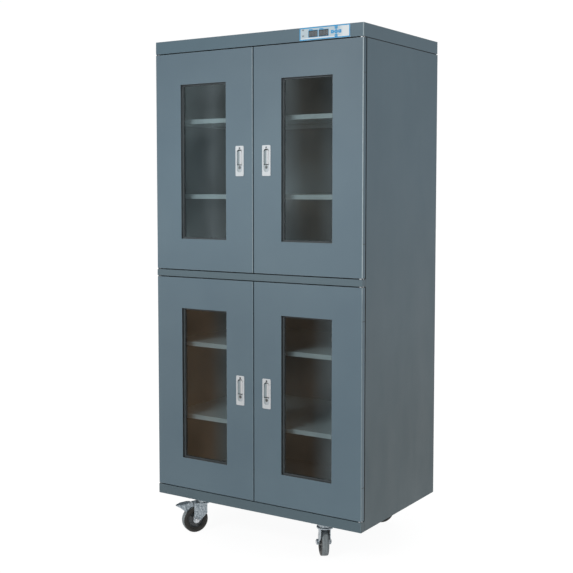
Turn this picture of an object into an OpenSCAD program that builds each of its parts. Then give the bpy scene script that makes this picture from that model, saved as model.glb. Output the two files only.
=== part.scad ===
// Four-door electronic dry cabinet on swivel castors.
// Millimetres, +Z up, doors face -Y, origin on the floor under the middle of the body.

/* [Body] */
// Width of the body
body_w = 900; // [800:10:1000]
// Depth from the door faces to the back
body_d = 600; // [560:10:680]
// Height of the body without its castors
body_h = 1755; // [1655:5:1855]
// Thickness of the folded sheet
sheet_t = 1.5; // [1.2:0.1:1.8]
// Height of the top cover
cover_h = 46; // [46:1:56]
// Height of the bottom beam
base_h = 36; // [34:1:50]
// Height of the middle beam
mid_h = 24; // [24:1:36]

/* [Doors] */
// Thickness of a door
door_t = 20; // [20:0.5:22]
// Gap between a door and the beams
door_gap = 4; // [3.5:0.1:4.5]
// Half of the gap between the left and right doors
mid_gap = 2; // [1.5:0.1:3]
// Space between the doors and the body behind them
seal_gap = 5; // [4.5:0.1:6]
// Width of a window
win_w = 210; // [160:5:230]
// Height of a window
win_h = 582; // [480:2:600]
// Depth of the frame around a window
win_lip = 10; // [9:0.5:11]
// Radius of a hinge pin
pin_r = 4; // [3:0.1:4.5]

/* [Locks] */
// Width of a lock plate
plate_w = 36; // [34:0.5:38]
// Height of a lock plate
plate_h = 110.5; // [109:0.5:120]
// Distance from a door's edge to the middle of its lock
lock_in = 56.5; // [50:0.5:60]
// Width of a pull lever
lever_w = 21; // [19:0.5:21]
// Distance of the key cylinder below the middle of the lock
key_drop = 24; // [23:0.5:25]
// Length of a locking cam
cam_l = 45; // [40:0.5:46]

/* [Shelves] */
// Depth of a shelf
shelf_d = 520; // [440:5:525]
// Height of a shelf's lips
shelf_lip = 17; // [14:0.5:20]
// Height of the top of the lowest shelf above the floor
shelf_z1 = 451; // [440:1:460]
// Distance from one shelf to the next
shelf_step = 286; // [280:0.5:290]

/* [Castors] */
// Height of a castor
castor_h = 135; // [132:1:140]
// Radius of a wheel
wheel_r = 50; // [46:0.5:50]
// Width of a wheel's tyre
wheel_w = 28; // [27:0.5:30]
// Distance from the swivel axis to the wheel's axle
trail = 29; // [26:0.5:32]
// Distance of the swivel axes from the middle of the body, across
castor_x = 277; // [250:1:380]
// Distance of the swivel axes from the middle of the body, front to back
castor_y = 252; // [220:1:254]

/* [Controls] */
// Width of the control panel
panel_w = 201; // [200:1:210]
// Radius of a push key
key_r = 4; // [3.5:0.1:4.2]
// Distance between neighbouring push keys
key_step = 15; // [13:0.25:15]

/* [Hidden] */
$fn = 64;

hw = body_w/2;
yf = -body_d/2;
yb = body_d/2;
t = sheet_t;
door_h = (body_h - cover_h - base_h - mid_h - 4*door_gap)/2;
z0 = castor_h;
z1 = z0 + base_h;
dl = z1 + door_gap;
m0 = dl + door_h + door_gap;
m1 = m0 + mid_h;
du = m1 + door_gap;
c0 = du + door_h + door_gap;
zt = c0 + cover_h;
yd = yf + door_t;
ys = yd + seal_gap;
px = hw - 10;
py = yf + 10;
land = 32;
door_cx = (mid_gap + hw)/2;
lock_x = mid_gap + lock_in;
lock_y = yf;
pocket = 6;
shelf_x = hw - 25;
shelf_y = yf + 60;
shelf_n = 5;
castor_fl = 238;
castor_fr = 129;
castor_bl = 100;
castor_br = 230;
panel_x = 298.5;
panel_z = c0 + cover_h/2;
keys_x = 344.5;
keys_z = panel_z;
unit_x = 220;
unit_z = (shelf_z1 + 2*shelf_step + shelf_z1 + 3*shelf_step)/2 - 12;
unit_y = yb - t - 92;
inlet_x = -300;
inlet_z = c0 + cover_h/2;

steel = [0.43, 0.50, 0.545];
steel_in = [0.36, 0.41, 0.44];
zinc = [0.75, 0.76, 0.78];
rubber = [0.12, 0.12, 0.13];

function arc(cx, cy, r, a0, a1, n) = [for (i = [0:n]) let (a = a0 + (a1 - a0)*i/n) [cx + r*cos(a), cy + r*sin(a)]];
function rrect(x0, y0, x1, y1, r, n = 6) = concat(
  arc(x1 - r, y1 - r, r, 0, 90, n), arc(x0 + r, y1 - r, r, 90, 180, n),
  arc(x0 + r, y0 + r, r, 180, 270, n), arc(x1 - r, y0 + r, r, 270, 360, n));

module box(a, b) translate(a) cube(b - a);
module xz(y0, y1) translate([0, y1, 0]) rotate([90, 0, 0]) linear_extrude(y1 - y0) children();
module yz(x0, x1) translate([x0, 0, 0]) rotate([90, 0, 90]) linear_extrude(x1 - x0) children();
module rod_x(x0, x1, y, z, r) translate([x0, y, z]) rotate([0, 90, 0]) cylinder(r = r, h = x1 - x0);
module rod_y(y0, y1, x, z, r) translate([x, y1, z]) rotate([90, 0, 0]) cylinder(r = r, h = y1 - y0);
module rod_z(za, zb, x, y, r) translate([x, y, za]) cylinder(r = r, h = zb - za);
module side(s) if (s > 0) children(); else mirror([1, 0, 0]) children();

// Sheet with two door notches; the notch corners are rounded.
module side_outline() {
  r = 6;
  difference() {
    translate([yf, z0]) square([body_d - t, c0 - 3 - z0]);
    polygon(concat([[yf - 1, z1], [ys - r, z1]], arc(ys - r, z1 + r, r, 270, 360, 6),
      arc(ys - r, m0 - r, r, 0, 90, 6), [[yf - 1, m0]]));
    polygon(concat([[yf - 1, m1], [ys - r, m1]], arc(ys - r, m1 + r, r, 270, 360, 6),
      [[ys, c0 + 1], [yf - 1, c0 + 1]]));
  }
}
module side_body() {
  yz(hw - t, hw) side_outline();
  box([hw - land, ys, z1 + 0.5], [hw - t + 0.3, ys + t, m0 - 0.5]);
  box([hw - land, ys, m1 + 0.5], [hw - t + 0.3, ys + t, c0 - 3.5]);
  box([hw - land, yb - t - t, z1 + 0.5], [hw - t + 0.3, yb - t, c0 - 3.5]);
}
module side_panel_left() color(steel) side(-1) side_body();
module side_panel_right() color(steel) side_body();

module back_panel() color(steel) difference() {
  box([-hw, yb - t, z0], [hw, yb, c0 - 3]);
  for (i = [0:6]) box([unit_x - 60, yb - t - 1, unit_z - 30 + i*10], [unit_x + 60, yb + 1, unit_z - 26 + i*10]);
}

module top_cover() color(steel) difference() {
  translate([0, 0, c0]) linear_extrude(cover_h) polygon(rrect(-hw, yf, hw, yb, 2.5, 5));
  box([-hw + t, yf + t, c0 + t], [hw - t, yb - t, zt - t]);
  box([-hw + 60, yf + 60, c0 - 1], [hw - 60, yb - 60, c0 + t + 1]);
  box([panel_x - panel_w/2 + 6, yf - 1, panel_z - cover_h/2 + 3.4], [panel_x + panel_w/2 - 6, yf + t + 1, panel_z + cover_h/2 - 3.4]);
  box([inlet_x - 26.2, yb - t - 1, inlet_z - 13.7], [inlet_x + 26.2, yb + 1, inlet_z + 13.7]);
  for (s = [-1, 1]) rod_z(c0 - 1, c0 + t + 1, s*px, py, pin_r + 0.05);
}

module chamber_ceiling() color(steel_in) {
  box([-hw + 4, ys, c0 - 3], [hw - 4, yb - 4, c0]);
  box([-hw + land + 0.3, ys, c0 - 32], [hw - land - 0.3, ys + t, c0 - 2.5]);
}

module base_tray() color(steel) difference() {
  box([-hw + t, yf, z0], [hw - t, yb - t, z1]);
  box([-hw + 2*t, yf + t, z0 + t], [hw - 2*t, yb, z1 - t]);
  for (s = [-1, 1]) rod_z(z1 - t - 1, z1 + 1, s*px, py, pin_r + 0.05);
}

module front_frame() color(steel) difference() {
  union() {
    box([-hw + t, yf, m0], [hw - t, yf + 50, m1]);
    box([-hw + land + 0.3, ys, m0 - 30], [hw - land - 0.3, ys + t, m1 + 30]);
    box([-25, ys, z1], [25, ys + t, m0 - 20]);
    box([-10, ys + 0.5, z1], [10, ys + 18, m0 - 20]);
    box([-hw + land + 0.3, ys, z1], [hw - land - 0.3, ys + t, z1 + 28]);
    box([-25, ys, m1 + 20], [25, ys + t, c0 - 32]);
    box([-10, ys + 0.5, m1 + 20], [10, ys + 18, c0 - 32]);
    box([-10, ys + 2, c0 - 40], [10, ys + 18, c0 - 3]);
  }
  box([-hw, yf + t, m0 + t], [hw, yf + 50 - t, m1 - t]);
  for (s = [-1, 1]) rod_z(m0 - 1, m1 + 1, s*px, py, pin_r + 0.05);
}

module seal_ring(za, zb) xz(yd + 0.6, ys) difference() {
  polygon(rrect(6, za, hw - land + 11, zb, 8, 6));
  polygon(rrect(16.5, za + 10.5, hw - land + 0.5, zb - 10.5, 4, 6));
}
module door_seals() color([0.16, 0.17, 0.18]) for (s = [-1, 1]) side(s) {
  seal_ring(dl + 8, dl + door_h - 10);
  seal_ring(du + 9, du + door_h - 8);
}

function shelf_z(i) = shelf_z1 + i*shelf_step;
module shelf_one(z) difference() {
  union() {
    box([-shelf_x, shelf_y, z - t], [shelf_x, shelf_y + shelf_d, z]);
    box([-shelf_x, shelf_y, z - shelf_lip], [shelf_x, shelf_y + t, z]);
    box([-shelf_x, shelf_y + shelf_d - t, z - shelf_lip], [shelf_x, shelf_y + shelf_d, z]);
    for (s = [-1, 1]) box([s < 0 ? -shelf_x : shelf_x - t, shelf_y, z - shelf_lip], [s < 0 ? -shelf_x + t : shelf_x, shelf_y + shelf_d, z]);
    box([-shelf_x, shelf_y, z - shelf_lip], [shelf_x, shelf_y + 12, z - shelf_lip + t]);
    box([-shelf_x + 20, shelf_y + shelf_d/2 - 22, z - 14], [shelf_x - 20, shelf_y + shelf_d/2 + 22, z - t + 0.4]);
  }
  box([-shelf_x + 19, shelf_y + shelf_d/2 - 20.5, z - 12.5], [shelf_x - 19, shelf_y + shelf_d/2 + 20.5, z - t]);
}
module shelves() color([0.50, 0.55, 0.58]) for (i = [0:shelf_n - 1]) shelf_one(shelf_z(i));

up_y = [yf + 80, yf + 480];
module upright_one(y) {
  difference() {
    yz(hw - 19.5, hw - 18) difference() {
      translate([y - 15, z1 + 6]) square([30, c0 - z1 - 20]);
      for (i = [0:34]) translate([y - 2, z1 + 40 + i*44]) square([4, 16]);
    }
  }
  for (s = [-1, 1]) box([hw - 19.5, y + (s < 0 ? -15 : 15 - t), z1 + 6], [hw - t - 0.2, y + (s < 0 ? -15 + t : 15), c0 - 14]);
}
module shelf_uprights() color(steel_in) for (s = [-1, 1]) side(s) for (y = up_y) upright_one(y);

module clip_one(y, z) {
  box([hw - 34, y - 9, z - 2], [hw - 19.9, y + 9, z]);
  box([hw - 21.9, y - 9, z - 16], [hw - 19.9, y + 9, z + 3]);
}
module shelf_clips() color(zinc) for (s = [-1, 1]) side(s) for (y = up_y) for (i = [0:shelf_n - 1])
  clip_one(y, shelf_z(i) - shelf_lip);

// Hinge pin with its collar and the plate that fills the end of the gap.
module pin_one(z, up) {
  rod_z(z + (up > 0 ? -8 : -15), z + (up > 0 ? 15 : 8), px, py, pin_r);
  rod_z(z + (up > 0 ? 0 : -door_gap + 0.8), z + (up > 0 ? door_gap - 0.8 : 0), px, py, pin_r + 2.8);
  translate([0, 0, z + (up > 0 ? 0 : -door_gap + 0.8)]) linear_extrude(door_gap - 0.8)
    polygon([[hw - land, ys - 0.2], [hw - land, py + 2], [hw - 4.5, py + 2], [hw - 4.5, yf + 3.2], [hw - t - 0.2, yf + 3.2], [hw - t - 0.2, ys - 0.2]]);
}
module hinge_pins() color(zinc) for (s = [-1, 1]) side(s) {
  pin_one(z1, 1);
  pin_one(m0, -1);
  pin_one(m1, 1);
  pin_one(c0, -1);
}

// Right-hand door; the left one is its mirror image.
module door_body(zd) difference() {
  translate([0, 0, zd]) linear_extrude(door_h) polygon(concat(
    arc(hw - 2.5, yf + 2.5, 2.5, 270, 360, 5), [[hw, yd], [mid_gap, yd]],
    arc(mid_gap + 2.5, yf + 2.5, 2.5, 180, 270, 5)));
  difference() {
    box([mid_gap + t, yf + t, zd + t], [hw - t, yd - t, zd + door_h - t]);
    box([door_cx - win_w/2 - pocket - t, yf, zd + door_h/2 - win_h/2 - pocket - t],
        [door_cx + win_w/2 + pocket + t, yd, zd + door_h/2 + win_h/2 + pocket + t]);
    for (k = [0, 1]) box([hw - 22, yf, zd + (k == 0 ? 0 : door_h - 14)], [hw, yd, zd + (k == 0 ? 14 : door_h)]);
  }
  box([door_cx - win_w/2, yf - 1, zd + door_h/2 - win_h/2], [door_cx + win_w/2, yd + 1, zd + door_h/2 + win_h/2]);
  box([door_cx - win_w/2 - pocket, yf + win_lip, zd + door_h/2 - win_h/2 - pocket],
      [door_cx + win_w/2 + pocket, yd + 1, zd + door_h/2 + win_h/2 + pocket]);
  box([lock_x - 14.2, yf - 1, zd + door_h/2 - 52.2], [lock_x + 14.2, yf + t + 1, zd + door_h/2 + 52.2]);
  rod_y(yd - t - 1, yd + 1, lock_x, zd + door_h/2 - key_drop, 9.4);
  for (k = [0, 1]) rod_z(zd + (k == 0 ? -1 : door_h - 12), zd + (k == 0 ? 12 : door_h + 1), px, py, pin_r + 0.05);
}
module door_ul_panel() color(steel) side(-1) door_body(du);
module door_ur_panel() color(steel) door_body(du);
module door_ll_panel() color(steel) side(-1) door_body(dl);
module door_lr_panel() color(steel) door_body(dl);

module glass_body(zd) box([door_cx - win_w/2 - 3, yf + win_lip + 2, zd + door_h/2 - win_h/2 - 3],
                          [door_cx + win_w/2 + 3, yf + win_lip + 6, zd + door_h/2 + win_h/2 + 3]);
module door_ul_glass() color([0.35, 0.42, 0.46, 0.3]) side(-1) glass_body(du);
module door_ur_glass() color([0.35, 0.42, 0.46, 0.3]) glass_body(du);
module door_ll_glass() color([0.35, 0.42, 0.46, 0.3]) side(-1) glass_body(dl);
module door_lr_glass() color([0.35, 0.42, 0.46, 0.3]) glass_body(dl);

module gasket_body(zd) difference() {
  box([door_cx - win_w/2 - pocket + 0.2, yf + win_lip, zd + door_h/2 - win_h/2 - pocket + 0.2],
      [door_cx + win_w/2 + pocket - 0.2, yf + win_lip + 8, zd + door_h/2 + win_h/2 + pocket - 0.2]);
  box([door_cx - win_w/2 + 6, yf, zd + door_h/2 - win_h/2 + 6], [door_cx + win_w/2 - 6, yd + 5, zd + door_h/2 + win_h/2 - 6]);
  box([door_cx - win_w/2 - 3.1, yf + win_lip + 1.95, zd + door_h/2 - win_h/2 - 3.1],
      [door_cx + win_w/2 + 3.1, yf + win_lip + 6.05, zd + door_h/2 + win_h/2 + 3.1]);
}
module door_ul_gasket() color(rubber) side(-1) gasket_body(du);
module door_ur_gasket() color(rubber) gasket_body(du);
module door_ll_gasket() color(rubber) side(-1) gasket_body(dl);
module door_lr_gasket() color(rubber) gasket_body(dl);

// Lock parts, local to the middle of a lock plate on the door's face.
module at_lock(zd) translate([lock_x, lock_y, zd + door_h/2]) children();
module lock_case_body() difference() {
  union() {
    xz(-2, 0) polygon(rrect(-plate_w/2, -plate_h/2, plate_w/2, plate_h/2, 4));
    box([-14, -0.5, -52], [14, 14, 52]);
    rod_y(13, 23, 0, -key_drop, 9);
  }
  difference() {
    xz(-3, 11) polygon(rrect(-11.5, -41, 11.5, 42, 9));
    rod_y(-0.2, 12, 0, -key_drop, 8);
  }
  rod_y(-4, 24, 0, -key_drop, 6);
  rod_x(-15, 15, 4, 34, 2.05);
}
module lock_ul_case() color([0.85, 0.86, 0.87]) side(-1) at_lock(du) lock_case_body();
module lock_ur_case() color([0.85, 0.86, 0.87]) at_lock(du) lock_case_body();
module lock_ll_case() color([0.85, 0.86, 0.87]) side(-1) at_lock(dl) lock_case_body();
module lock_lr_case() color([0.85, 0.86, 0.87]) at_lock(dl) lock_case_body();

module lock_lever_body() {
  intersection() {
    yz(-lever_w/2, lever_w/2) polygon(concat(
      arc(4, 34, 3.9, 0, 130, 6), [[0.4, 36.6], [-1.6, 33.5], [-2.2, 30], [-2.2, -9.5], [-1.6, -11.5], [0, -12.6], [4, -12.6], [5, -11], [5, 20], [7.9, 28]]));
    translate([0, 0, -20]) linear_extrude(70) polygon(concat(
      [[lever_w/2, 9], [-lever_w/2, 9], [-lever_w/2, -1.2], [-lever_w/2 + 0.8, -1.8]],
      [for (i = [0:10]) let (u = -1 + 2*i/10) [u*(lever_w/2 - 1.6), -1.8 + 3.6*(1 - u*u)]],
      [[lever_w/2 - 0.8, -1.8], [lever_w/2, -1.2]]));
    xz(-5, 10) polygon(rrect(-lever_w/2, -30, lever_w/2, 38.5, lever_w/2 - 0.5));
  }
  rod_x(-13.4, 13.4, 4, 34, 2);
}
module lock_ul_lever() color([0.9, 0.9, 0.91]) side(-1) at_lock(du) lock_lever_body();
module lock_ur_lever() color([0.9, 0.9, 0.91]) at_lock(du) lock_lever_body();
module lock_ll_lever() color([0.9, 0.9, 0.91]) side(-1) at_lock(dl) lock_lever_body();
module lock_lr_lever() color([0.9, 0.9, 0.91]) at_lock(dl) lock_lever_body();

module lock_core_body() difference() {
  union() {
    rod_y(-0.8, 31, 0, -key_drop, 5.95);
    xz(30, 32.5) polygon(concat(arc(0, -key_drop, 9, 0, 180, 10), arc(0, -key_drop - cam_l + 7, 7, 180, 360, 10)));
  }
  box([-0.8, -2, -key_drop - 3.5], [0.8, 4, -key_drop + 3.5]);
}
module lock_ul_core() color(zinc) side(-1) at_lock(du) lock_core_body();
module lock_ur_core() color(zinc) at_lock(du) lock_core_body();
module lock_ll_core() color(zinc) side(-1) at_lock(dl) lock_core_body();
module lock_lr_core() color(zinc) at_lock(dl) lock_core_body();

// Castor parts, local to the swivel axis; the wheel trails towards local +X.
axle_z = wheel_r;
crown_z = castor_h - 23;
leg_y = wheel_w/2 + 2;
pedal_z = wheel_r*2 + 7;
module at_castor(x, y, a) translate([x, y, 0]) rotate([0, 0, a]) children();
module castor_plate_one(x, y, a) translate([x, y, 0]) difference() {
  union() {
    box([-47.5, -35, castor_h - 3], [47.5, 35, castor_h]);
    rod_z(castor_h - 11, castor_h - 2, 0, 0, 26);
  }
  rod_z(castor_h - 12, castor_h - 3.5, 0, 0, 8.05);
}
module castor_plates() color(zinc) {
  castor_plate_one(-castor_x, -castor_y, castor_fl);
  castor_plate_one(castor_x, -castor_y, castor_fr);
  castor_plate_one(-castor_x, castor_y, castor_bl);
  castor_plate_one(castor_x, castor_y, castor_br);
}
module fork_body(brake) difference() {
  union() {
    rod_z(crown_z, castor_h - 11.4, 0, 0, 24);
    rod_z(crown_z, crown_z + 4, 0, 0, 30);
    rod_z(crown_z + 3, castor_h - 4.5, 0, 0, 8);
    box([-16, -leg_y - 2, crown_z], [38, leg_y + 2, crown_z + 4]);
    for (s = [0, 1]) mirror([0, s, 0]) intersection() {
      xz(leg_y, leg_y + 6) polygon(concat(
        [[-16, crown_z + 4], [-16, axle_z + 24]], arc(trail, axle_z, 12.5, 205, 360, 9), [[38, axle_z + 16], [38, crown_z + 4]]));
      translate([0, 0, axle_z - 20]) linear_extrude(100) polygon([[-17, leg_y], [42, leg_y], [42, leg_y + 2], [9, leg_y + 5.5], [-17, leg_y + 2.6]]);
    }
    rod_y(-leg_y - 3.2, leg_y + 3.2, trail, axle_z, 6);
    for (s = [-1, 1]) translate([trail, s*(leg_y + 6.5), axle_z]) rotate([90, 0, 0]) cylinder(r = 10.5, h = 7, center = true, $fn = 6);
  }
  if (brake) rod_y(-leg_y - 7, leg_y + 7, 24, pedal_z, 3.05);
}
module castor_fl_fork() color(zinc) at_castor(-castor_x, -castor_y, castor_fl) fork_body(true);
module castor_fr_fork() color(zinc) at_castor(castor_x, -castor_y, castor_fr) fork_body(true);
module castor_bl_fork() color(zinc) at_castor(-castor_x, castor_y, castor_bl) fork_body(false);
module castor_br_fork() color(zinc) at_castor(castor_x, castor_y, castor_br) fork_body(false);

function wheel_half() = [[6.05, wheel_w/2 + 1], [13, wheel_w/2 + 1], [14, wheel_w/2 - 7], [wheel_r*0.62, wheel_w/2 - 7],
  [wheel_r*0.63, wheel_w/2 - 2], [wheel_r*0.70, wheel_w/2 - 1], [wheel_r*0.90, wheel_w/2], [wheel_r*0.96, wheel_w/2 - 0.8],
  [wheel_r*0.99, wheel_w/2 - 2.6], [wheel_r, wheel_w/2 - 5]];
module wheel_body() translate([trail, 0, axle_z]) rotate([90, 0, 0]) rotate_extrude($fn = 96) polygon(concat(
  wheel_half(), [for (i = [len(wheel_half()) - 1:-1:0]) [wheel_half()[i][0], -wheel_half()[i][1]]]));
module castor_fl_wheel() color(rubber) at_castor(-castor_x, -castor_y, castor_fl) wheel_body();
module castor_fr_wheel() color(rubber) at_castor(castor_x, -castor_y, castor_fr) wheel_body();
module castor_bl_wheel() color(rubber) at_castor(-castor_x, castor_y, castor_bl) wheel_body();
module castor_br_wheel() color(rubber) at_castor(castor_x, castor_y, castor_br) wheel_body();

// Pointed pedal whose underside follows the tyre.
module pedal_body() {
  intersection() {
    xz(-20, 20) polygon(concat(
      [[19, axle_z + 53.4], [44, axle_z + 53.4]], arc(trail, axle_z, wheel_r + 6, 66, 43, 6),
      [[73, axle_z + 37.6], [84, axle_z + 46.5], [98, axle_z + 56.5], [107, axle_z + 61], [107, axle_z + 62.8], [85, axle_z + 66.4],
       [60, axle_z + 69], [47, axle_z + 69.4], [41.5, axle_z + 67], [39.6, axle_z + 60.4], [19, axle_z + 59]]));
    translate([0, 0, axle_z]) linear_extrude(80) polygon([[18, -13.5], [50, -13.5], [58, -17], [84, -17], [101, -9], [107, -4],
      [107, 4], [101, 9], [84, 17], [58, 17], [50, 13.5], [18, 13.5]]);
  }
  rod_y(-leg_y - 2.2, leg_y + 2.2, 24, pedal_z, 3);
}
module castor_fl_pedal() color([0.80, 0.81, 0.83]) at_castor(-castor_x, -castor_y, castor_fl) pedal_body();
module castor_fr_pedal() color([0.80, 0.81, 0.83]) at_castor(castor_x, -castor_y, castor_fr) pedal_body();

key_pos = [[0, 1], [0, -1], [-1, 0], [1, 0], [0, 0]];
module control_panel() color([0.80, 0.84, 0.87]) xz(yf - 1.2, yf) difference() {
  polygon(rrect(panel_x - panel_w/2, panel_z - cover_h/2 + 1, panel_x + panel_w/2, panel_z + cover_h/2 - 1, 1.5, 4));
  for (p = key_pos) translate([keys_x + p[0]*key_step, keys_z + p[1]*key_step]) circle(r = key_r + 0.35);
  translate([235, keys_z - 12]) square([36, 23]);
  translate([276, keys_z - 12]) square([38, 23]);
}
module control_board() color([0.10, 0.30, 0.20]) {
  box([206, yf + 9, keys_z - 17], [390, yf + 10.6, keys_z + 17]);
  box([235.5, yf - 0.4, keys_z - 11.5], [270.5, yf + 9.5, keys_z + 10.5]);
  box([276.5, yf - 0.4, keys_z - 11.5], [313.5, yf + 9.5, keys_z + 10.5]);
  for (p = key_pos) rod_y(yf + 2, yf + 9.5, keys_x + p[0]*key_step, keys_z + p[1]*key_step, 2);
  for (x = [210, 386]) for (s = [-1, 1]) rod_y(yf + 10, yf + 20, x, keys_z + s*12, 3);
  box([207, yf + 20, keys_z - 17], [389, yf + 22, keys_z + 17]);
}
module key_one(i) color([0.16, 0.42, 0.72]) rod_y(yf - 2, yf + 0.6, keys_x + key_pos[i][0]*key_step, keys_z + key_pos[i][1]*key_step, key_r);
module key_up() key_one(0);
module key_down() key_one(1);
module key_left() key_one(2);
module key_right() key_one(3);
module key_set() key_one(4);

module drying_unit_case() color([0.86, 0.87, 0.87]) difference() {
  union() {
    box([unit_x - 120, unit_y, unit_z - 75], [unit_x + 120, yb - t, unit_z + 75]);
    for (s = [-1, 1]) box([unit_x + s*61 - 4, unit_y - 8, unit_z + 50], [unit_x + s*61 + 4, unit_y + 0.5, unit_z + 60]);
  }
  box([unit_x - 117.5, unit_y + 2.5, unit_z - 72.5], [unit_x + 117.5, yb, unit_z + 72.5]);
  box([unit_x - 54, unit_y - 1, unit_z + 14], [unit_x + 54, unit_y + 4, unit_z + 48]);
  for (i = [0:7]) box([unit_x - 90, unit_y - 1, unit_z - 62 + i*8], [unit_x + 90, unit_y + 4, unit_z - 58 + i*8]);
  rod_x(unit_x - 70, unit_x + 70, unit_y - 4, unit_z + 55, 1.55);
}
module drying_unit_shutter() color([0.70, 0.72, 0.73]) {
  box([unit_x - 55.5, unit_y - 5, unit_z + 10], [unit_x + 55.5, unit_y - 3, unit_z + 55]);
  rod_x(unit_x - 56, unit_x + 56, unit_y - 4, unit_z + 55, 2.6);
  rod_x(unit_x - 64, unit_x + 64, unit_y - 4, unit_z + 55, 1.5);
}
module desiccant_block() color([0.78, 0.74, 0.62]) difference() {
  box([unit_x - 100, unit_y + 16, unit_z - 60], [unit_x + 100, unit_y + 62, unit_z + 60]);
  for (i = [0:5]) box([unit_x - 90 + i*32, unit_y + 15, unit_z - 52], [unit_x - 70 + i*32, unit_y + 22, unit_z + 52]);
}
module humidity_sensor() color([0.88, 0.89, 0.90]) difference() {
  box([unit_x - 20, yb - t - 16, shelf_z(3) + 100], [unit_x + 20, yb - t, shelf_z(3) + 165]);
  for (i = [0:4]) box([unit_x - 13, yb - t - 17, shelf_z(3) + 112 + i*9], [unit_x + 13, yb - t - 9, shelf_z(3) + 116 + i*9]);
}

module power_inlet() color([0.10, 0.10, 0.11]) translate([inlet_x, yb, inlet_z]) difference() {
  union() {
    xz(0, 2) polygon(rrect(-30, -17, 30, 17, 3));
    box([-26, -26, -13.5], [26, 0.5, 13.5]);
  }
  difference() {
    xz(-16, 3) polygon(rrect(-23, -9, 3, 9, 2));
    for (x = [-17, -10, -3]) box([x - 1, -17, x == -10 ? 0 : -4], [x + 1, -5, x == -10 ? 5 : 1]);
  }
  box([8, -9, -10.8], [21, 3, 10.8]);
  rod_x(6.5, 22.5, -2, 0, 1.55);
}
module power_switch() color([0.60, 0.08, 0.07]) translate([inlet_x, yb, inlet_z]) {
  translate([0, -2, 0]) rotate([-10, 0, 0]) yz(8.4, 20.6) polygon([[-3, -3.5], [1.2, -8.8], [4, -8.8], [2.2, 0], [4, 8.8], [1.2, 8.8], [-3, 3.5]]);
  rod_x(7, 22, -2, 0, 1.5);
}

side_panel_left();
side_panel_right();
back_panel();
top_cover();
chamber_ceiling();
base_tray();
front_frame();
door_seals();
shelves();
shelf_uprights();
shelf_clips();
hinge_pins();
castor_plates();
control_panel();
control_board();
drying_unit_case();
desiccant_block();
humidity_sensor();
power_inlet();
door_ul_panel();
door_ur_panel();
door_ll_panel();
door_lr_panel();
door_ul_glass();
door_ur_glass();
door_ll_glass();
door_lr_glass();
door_ul_gasket();
door_ur_gasket();
door_ll_gasket();
door_lr_gasket();
lock_ul_case();
lock_ur_case();
lock_ll_case();
lock_lr_case();
lock_ul_lever();
lock_ur_lever();
lock_ll_lever();
lock_lr_lever();
lock_ul_core();
lock_ur_core();
lock_ll_core();
lock_lr_core();
castor_fl_fork();
castor_fr_fork();
castor_bl_fork();
castor_br_fork();
castor_fl_wheel();
castor_fr_wheel();
castor_bl_wheel();
castor_br_wheel();
castor_fl_pedal();
castor_fr_pedal();
key_up();
key_down();
key_left();
key_right();
key_set();
drying_unit_shutter();
power_switch();
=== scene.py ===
"""Looks of the electronic dry cabinet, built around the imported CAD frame. Metres, +Z up, doors face -Y."""
import math
import bpy
import bmesh
from mathutils import Matrix, Vector


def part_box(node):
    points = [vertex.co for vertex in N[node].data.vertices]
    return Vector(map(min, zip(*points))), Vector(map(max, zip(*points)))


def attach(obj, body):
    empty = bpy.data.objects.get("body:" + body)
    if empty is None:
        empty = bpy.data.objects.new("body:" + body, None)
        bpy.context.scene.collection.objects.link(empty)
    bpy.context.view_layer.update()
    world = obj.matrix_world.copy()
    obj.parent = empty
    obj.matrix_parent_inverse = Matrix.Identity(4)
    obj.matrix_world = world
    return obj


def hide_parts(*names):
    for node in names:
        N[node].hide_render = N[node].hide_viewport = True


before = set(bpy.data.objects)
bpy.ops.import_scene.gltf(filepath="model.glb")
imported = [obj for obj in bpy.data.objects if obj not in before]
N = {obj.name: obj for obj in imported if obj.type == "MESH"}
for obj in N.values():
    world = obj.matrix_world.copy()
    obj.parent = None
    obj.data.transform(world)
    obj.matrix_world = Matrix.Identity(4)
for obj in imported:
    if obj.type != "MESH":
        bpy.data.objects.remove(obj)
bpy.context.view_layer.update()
scene = bpy.context.scene
MM = 0.001


# ---------------------------------------------------------------- node material helpers
def rgb(r, g, b):
    """Linear colour from sRGB levels 0-255."""
    def lin(c):
        c /= 255.0
        return c / 12.92 if c <= 0.04045 else ((c + 0.055) / 1.055) ** 2.4
    return (lin(r), lin(g), lin(b), 1.0)


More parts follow.
